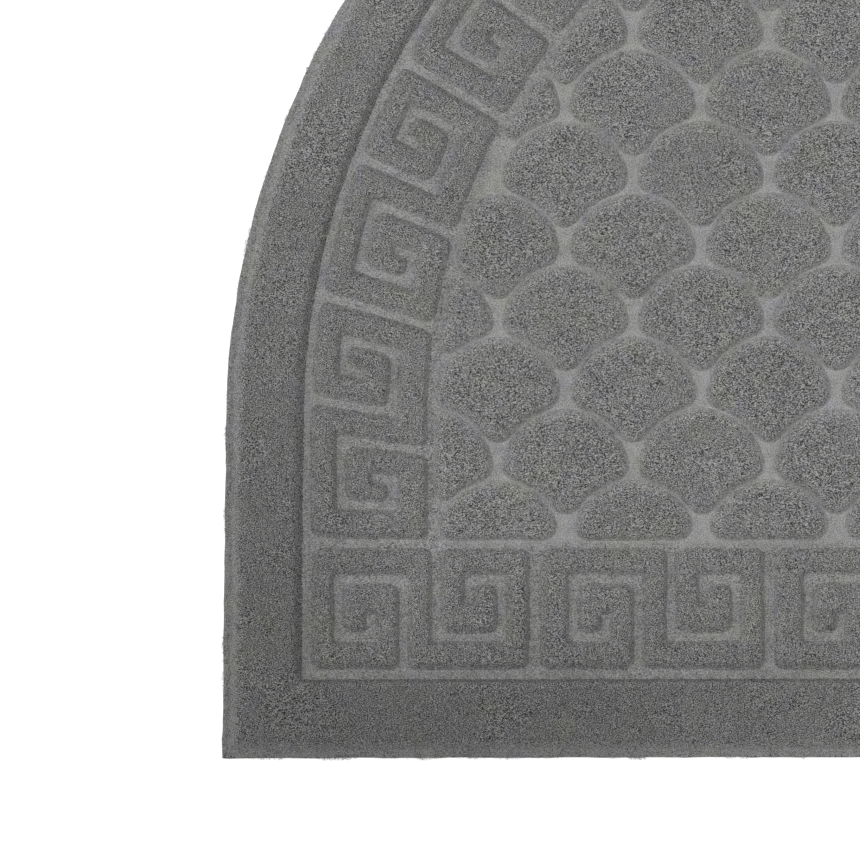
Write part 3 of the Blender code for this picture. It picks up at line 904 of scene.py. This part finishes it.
def heathered_felt():
    """Needle felt: standing pile on the blocks, smooth and lighter where the mould pressed it down.

    Each point's pile says how far it stands, most unevenly half way up, and its tone how light it is, with
    painted shade in the creases at the blocks' feet and painted light up their walls. Short fibres in three
    directions are the ridges of stretched noise, with dark gaps between them, and stronger where the felt
    is dark. A soft cloudiness and drifts of yellowish and bluish fibres lie over them.
    """
    felt = Finish("heathered_felt")
    pile = felt.point_value("pile")
    tone = felt.point_value("tone")
    uneven = felt.ranged(felt.noise(felt.place, 420.0, 2.0), 0.35, 0.65, -0.6, 0.6)
    half_way = felt.math("MULTIPLY", pile, felt.math("SUBTRACT", 1.0, pile))
    pile = felt.math("ADD", pile, felt.math("MULTIPLY", uneven, half_way), clamp=True)
    fibres = []
    for turn, scale, share in FIBRE_WAVES:
        waves = felt.noise(felt.mapped(felt.place, turn, (1.0, 2.5, 1.0)), scale, 1.0, 0.5, 0.4)
        away = felt.math("ABSOLUTE", felt.math("SUBTRACT", waves, 0.5))
        fibres.append(felt.ranged(away, 0.0, 0.14, share, -share))
    mesh = felt.math("ADD", felt.math("ADD", fibres[0], fibres[1]), fibres[2])
    gaps = felt.noise(felt.mapped(felt.place, 0.0, (1.0, 1.8, 1.0)), 2300.0, 1.0)
    gaps = felt.ranged(gaps, 0.41, 0.59, -1.0, 1.0)
    grain = felt.math("ADD", felt.math("MULTIPLY", mesh, 0.80), felt.math("MULTIPLY", gaps, 0.88))
    clouds = felt.ranged(felt.noise(felt.place, 230.0, 2.0), 0.3, 0.7, -0.08, 0.08)
    drifts = felt.ranged(felt.noise(felt.place, 28.0, 1.0), 0.3, 0.7, -0.05, 0.05)
    contrast = felt.ranged(pile, 0.15, 0.9, 0.45, 1.28, smooth=True)
    contrast = felt.math("MULTIPLY", contrast, felt.ranged(tone, 0.5, 1.25, 1.24, 0.88))
    shade = felt.math("ADD", felt.math("MULTIPLY", grain, contrast), felt.math("ADD", clouds, drifts))
    shade = felt.math("MAXIMUM", felt.math("ADD", shade, 1.0), 0.08)
    # the tone brings in the painted shade and painted light of the walls
    shade = felt.math("MULTIPLY", shade, tone)
    laid = felt.ranged(pile, 0.0, 0.8)
    base = felt.mixed(laid, PRESSED_GREY, STANDING_GREY)
    yellowish = felt.ranged(felt.noise(felt.place, 75.0, 2.0), 0.54, 0.72, 0.0, 1.0)
    base = felt.mixed(yellowish, base, YELLOWISH, "MULTIPLY")
    bluish = felt.ranged(felt.noise(felt.mapped(felt.place, 1.3), 140.0, 1.0), 0.56, 0.74, 0.0, 1.0)
    base = felt.mixed(bluish, base, BLUISH, "MULTIPLY")
    shaded = felt.nodes.new("ShaderNodeVectorMath")
    shaded.operation = "SCALE"
    felt.put(shaded.inputs[0], base)
    felt.put(shaded.inputs["Scale"], shade)
    felt.put(felt.shader.inputs["Base Color"], shaded.outputs[0])
    felt.put(felt.shader.inputs["Roughness"], felt.ranged(pile, 0.0, 1.0, 0.82, 0.97))
    felt.shader.inputs["Specular IOR Level"].default_value = 0.25
    felt.shader.inputs["Sheen Weight"].default_value = 0.08
    felt.shader.inputs["Sheen Roughness"].default_value = 0.6
    relief = felt.math("MULTIPLY", grain, felt.ranged(pile, 0.0, 1.0, 0.25, 1.0))
    felt.bump(relief, 0.5, 0.00015)
    return felt.material


def floor_and_light():
    """A plain white floor and soft studio lights, the main one high over the mat."""
    mesh = bpy.data.meshes.new("floor")
    corners = [(-1, -1), (1, -1), (1, 1), (-1, 1)]
    corners = [(FLOOR_HALF * x, FLOOR_HALF * y, FLOOR_LEVEL) for x, y in corners]
    mesh.from_pydata(corners, [], [(0, 1, 2, 3)])
    floor = bpy.data.objects.new("floor", mesh)
    bpy.context.scene.collection.objects.link(floor)
    white = Finish("white_floor")
    tone = white.ranged(white.noise(white.place, 3.0, 1.0), 0.3, 0.7, 0.90, 0.92)
    white.put(white.shader.inputs["Base Color"], white.mixed(tone, (0, 0, 0, 1), (1, 1, 1, 1)))
    white.shader.inputs["Roughness"].default_value = 0.9
    white.shader.inputs["Emission Color"].default_value = (1, 1, 1, 1)
    white.shader.inputs["Emission Strength"].default_value = 0.5
    mesh.materials.append(white.material)

    def soft_box(name, place, aim, size, power):
        """A rectangular light at a place, turned towards its aim."""
        light = bpy.data.lights.new(name, "AREA")
        light.shape = "RECTANGLE"
        light.size, light.size_y = size
        light.energy = power
        lamp = bpy.data.objects.new(name, light)
        bpy.context.scene.collection.objects.link(lamp)
        lamp.location = place
        way = np.array(aim, float) - np.array(place, float)
        tilt = math.atan2(math.hypot(way[0], way[1]), -way[2])
        lamp.rotation_euler = (tilt, 0.0, math.atan2(way[1], way[0]) - math.pi / 2)

    soft_box("top_box", place=(-0.12, -0.05, 2.80), aim=(-0.12, -0.05, 0.0), size=(1.2, 1.2), power=34.0)
    soft_box("left_box", place=(-0.98, -0.05, 0.70), aim=(-0.19, -0.05, 0.0), size=(0.4, 1.2), power=4.7)
    soft_box("right_box", place=(0.75, -0.10, 0.70), aim=(-0.19, -0.05, 0.0), size=(0.4, 1.2), power=3.4)
    world = bpy.data.worlds.new("studio")
    world.use_nodes = True
    world.node_tree.nodes["Background"].inputs["Color"].default_value = (1, 1, 1, 1)
    world.node_tree.nodes["Background"].inputs["Strength"].default_value = 0.15
    bpy.context.scene.world = world


def camera_above():
    """The camera straight above the photograph's middle, turned a tenth of a degree."""
    lens = bpy.data.cameras.new("camera")
    lens.sensor_width = SENSOR
    lens.lens = SENSOR * VIEW_HEIGHT / VIEW_WIDTH
    lens.clip_start, lens.clip_end = 0.05, 20.0
    camera = bpy.data.objects.new("camera", lens)
    camera.location = (*VIEW_CENTRE, PILE_TOP + VIEW_HEIGHT)
    camera.rotation_euler = (0.0, 0.0, VIEW_ROLL)
    bpy.context.scene.collection.objects.link(camera)
    bpy.context.scene.camera = camera


base = felt_base()
blocks = [border_band(), straight_keys(), arch_keys(), *scale_field(), edge_fibres()]
felt = heathered_felt()
for piece in [base, *blocks]:
    piece.data.materials.append(felt)
    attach(piece, "root")
    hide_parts("mat")

floor_and_light()
camera_above()
bpy.context.scene.view_settings.view_transform = "Standard"
